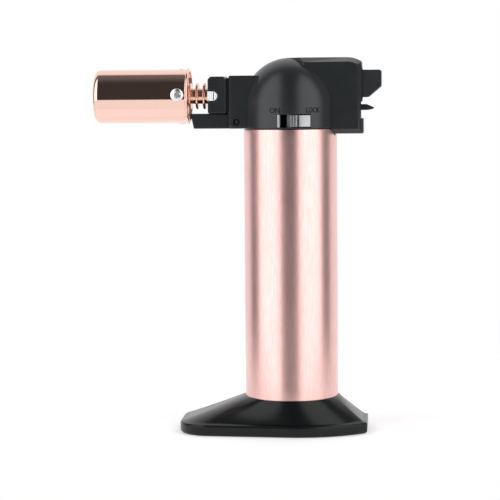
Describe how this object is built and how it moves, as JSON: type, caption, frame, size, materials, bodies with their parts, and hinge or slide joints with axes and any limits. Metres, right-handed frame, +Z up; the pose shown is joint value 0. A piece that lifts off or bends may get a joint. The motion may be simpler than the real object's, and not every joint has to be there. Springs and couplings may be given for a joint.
{
  "type": "butane torch",
  "caption": "Upright butane bench torch: round metal tank on a long foot, domed head with rear trigger, flame lever and side lock, finned neck and horizontal nozzle shroud.",
  "frame": {"origin": "on the resting plane under the tank's axis", "axes": "+Z up along the tank, -X towards the nozzle, +X towards the trigger, -Y is the side of the lock slider"},
  "size_m": [0.1171, 0.046, 0.1524],
  "materials": {
    "rose_satin_metal": "satin rose-gold finish, brushed lengthwise",
    "rose_polished_metal": "mirror-polished rose-gold plating",
    "foot_plastic": "satin to gloss moulded",
    "head_plastic": "fine matt mould texture",
    "trigger_plastic": "matt",
    "reservoir_plastic": "milky",
    "tube_plastic": "natural",
    "brass": "turned",
    "nickel": "nickel plated",
    "spring_steel": "drawn wire",
    "steel": "plain",
    "black_steel": "black oxide",
    "rubber": "plain",
    "felt": "pressed felt",
    "ceramic": "fired white ceramic",
    "wire_jacket": "soft jacket"
  },
  "bodies": {
    "torch": {"base_foot": "foot_plastic", "tank_sleeve": "rose_satin_metal", "fuel_reservoir": "reservoir_plastic", "fill_valve_body": "brass", "fill_valve_spring": "spring_steel", "fill_valve_seal": "rubber", "outlet_valve_body": "brass", "valve_spring": "spring_steel", "gland_seal": "rubber", "gas_filter": "felt", "head_shell_near": "head_plastic", "head_shell_far": "head_plastic", "head_screw_front_low": "black_steel", "head_screw_front_top": "black_steel", "head_screw_rear_low": "black_steel", "neck_block": "head_plastic", "neck_lug": "nickel", "lock_guide": "nickel", "trigger_spring": "spring_steel", "piezo_body": "trigger_plastic", "gas_tube": "tube_plastic", "jet_pipe": "brass", "gas_jet": "brass", "finned_neck": "rose_polished_metal", "burner_mount": "steel", "burner_tube": "steel", "flame_disc": "steel", "nozzle_shroud": "rose_polished_metal", "shroud_screw_near": "nickel", "shroud_screw_top": "nickel", "shroud_screw_low": "nickel", "insulator": "ceramic", "electrode": "steel", "igniter_wire": "wire_jacket"},
    "trigger_body": {"trigger": "trigger_plastic"},
    "plunger": {"piezo_plunger": "tube_plastic"},
    "stem": {"valve_stem": "nickel"},
    "flame_lever": {"flame_ring": "trigger_plastic"},
    "lock": {"lock_slider": "nickel"},
    "fill_stem": {"fill_valve_stem": "nickel"}
  },
  "joints": [
    {"name": "trigger_slide", "type": "slide", "parent": "torch", "child": "trigger_body", "axis": [-1, 0, 0], "range_m": [0, 0.0045], "stiffness_N_per_m": 900, "springref_m": -0.004, "deforming": ["trigger_spring"]},
    {"name": "plunger_slide", "type": "slide", "parent": "torch", "child": "plunger", "axis": [-1, 0, 0], "range_m": [0, 0.0045]},
    {"name": "stem_lift", "type": "slide", "parent": "torch", "child": "stem", "axis": [0, 0, 1], "range_m": [0, 0.0015], "deforming": ["valve_spring"]},
    {"name": "flame_turn", "type": "hinge", "parent": "torch", "child": "flame_lever", "pos_m": [0, 0, 0.1322], "axis": [0, 0, 1], "range_deg": [-8, 8]},
    {"name": "lock_turn", "type": "hinge", "parent": "torch", "child": "lock", "pos_m": [0, 0, 0.1265], "axis": [0, 0, 1], "range_deg": [-9, 0]},
    {"name": "fill_press", "type": "slide", "parent": "torch", "child": "fill_stem", "axis": [0, 0, 1], "range_m": [0, 0.0016], "stiffness_N_per_m": 700, "springref_m": -0.001, "deforming": ["fill_valve_spring"]}
  ],
  "couplings": [
    {"joint": "plunger_slide", "follows": "trigger_slide", "ratio": 1},
    {"joint": "stem_lift", "follows": "trigger_slide", "ratio": 0.3333}
  ]
}
